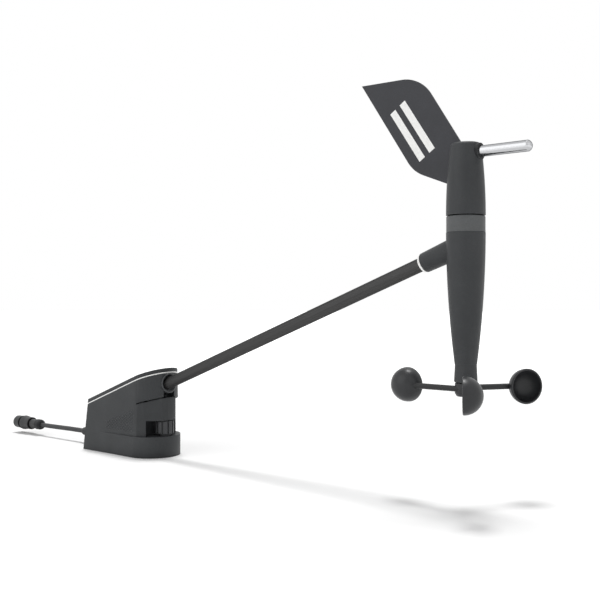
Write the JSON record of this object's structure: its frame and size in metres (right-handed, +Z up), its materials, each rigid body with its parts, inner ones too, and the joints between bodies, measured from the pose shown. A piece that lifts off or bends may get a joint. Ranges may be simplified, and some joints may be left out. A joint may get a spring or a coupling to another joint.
{
  "type": "cup anemometer",
  "caption": "Masthead wind sensor: a raked arm from a mast block carries a pod with a wind vane on top and a cup rotor below, with a cable and plug.",
  "frame": {"origin": "middle of the mast block's flat underside, where it sits on the masthead", "axes": "+X along the block towards the sensor pod, +Z up, Y across the block"},
  "size_m": [0.6644, 0.1195, 0.3375],
  "materials": {
    "housing_plastic": "fine moulded texture",
    "dark_plastic": "smooth moulded",
    "band_plastic": "satin moulded",
    "white_trim": "satin moulded",
    "arm_tube": "anodised matt",
    "fin_plastic": "fine moulded texture",
    "polished_steel": "polished",
    "steel": "turned",
    "brass": "plated",
    "rubber": "moulded",
    "cable_jacket": "extruded",
    "circuit_board": "solder resist",
    "magnet": "plated"
  },
  "bodies": {
    "mast_block": {"block_housing": "housing_plastic", "block_lid": "housing_plastic", "lid_trim": "white_trim", "lid_screws": "steel", "socket_sleeve": "dark_plastic", "contact_block": "dark_plastic", "contact_ribbon": "rubber", "terminal_board": "circuit_board", "cable_clamp": "dark_plastic", "clamp_screws": "steel", "cable_boot": "rubber", "signal_cable": "cable_jacket", "plug_clamp": "rubber", "plug_body": "dark_plastic", "plug_insert": "dark_plastic", "plug_contacts": "brass", "wheel_washer": "dark_plastic"},
    "plug_ring": {"plug_nut": "dark_plastic"},
    "thumbwheel": {"lock_wheel": "housing_plastic"},
    "lock_pin": {"lock_bolt": "steel"},
    "sensor_arm": {"arm_tube": "arm_tube", "arm_spigot": "dark_plastic", "spigot_seals": "rubber", "spigot_pins": "brass", "arm_lead": "cable_jacket", "arm_trim_ring": "white_trim", "pod_shell": "housing_plastic", "pod_band": "band_plastic", "band_seal": "rubber", "rotor_housing": "housing_plastic", "vane_bearings": "steel", "rotor_bearings": "steel", "vane_board": "circuit_board", "rotor_board": "circuit_board", "pod_lead": "cable_jacket"},
    "vane": {"vane_cap": "housing_plastic", "vane_fin": "fin_plastic", "counterweight": "polished_steel", "weight_bush": "rubber", "vane_shaft": "steel", "vane_clip": "steel", "vane_magnet": "magnet"},
    "rotor": {"rotor_hub": "housing_plastic", "rotor_spokes": "housing_plastic", "cup_1": "housing_plastic", "cup_2": "housing_plastic", "cup_3": "housing_plastic", "rotor_shaft": "steel", "rotor_magnet": "magnet", "hub_screw": "steel"}
  },
  "joints": [
    {"name": "arm_pull_out", "type": "slide", "parent": "mast_block", "child": "sensor_arm", "axis": [0.9361, 0, 0.3518], "range_m": [0, 0.045]},
    {"name": "vane_turn", "type": "hinge", "parent": "sensor_arm", "child": "vane", "pos_m": [0.3914, 0, 0.215], "axis": [0, 0, 1], "continuous": true},
    {"name": "rotor_turn", "type": "hinge", "parent": "sensor_arm", "child": "rotor", "pos_m": [0.3914, 0, 0.105], "axis": [0, 0, 1], "continuous": true},
    {"name": "wheel_turn", "type": "hinge", "parent": "mast_block", "child": "thumbwheel", "pos_m": [0.0455, 0, 0.03], "axis": [0, 0, 1], "range_deg": [0, 360]},
    {"name": "bolt_slide", "type": "slide", "parent": "mast_block", "child": "lock_pin", "axis": [0, 0, -1], "range_m": [0, 0.003]},
    {"name": "plug_ring_turn", "type": "hinge", "parent": "mast_block", "child": "plug_ring", "pos_m": [-0.2, 0, 0.0125], "axis": [-1, 0, 0], "continuous": true}
  ],
  "couplings": [
    {"joint": "bolt_slide", "follows": "wheel_turn", "m_per_rad": 0.000477}
  ]
}
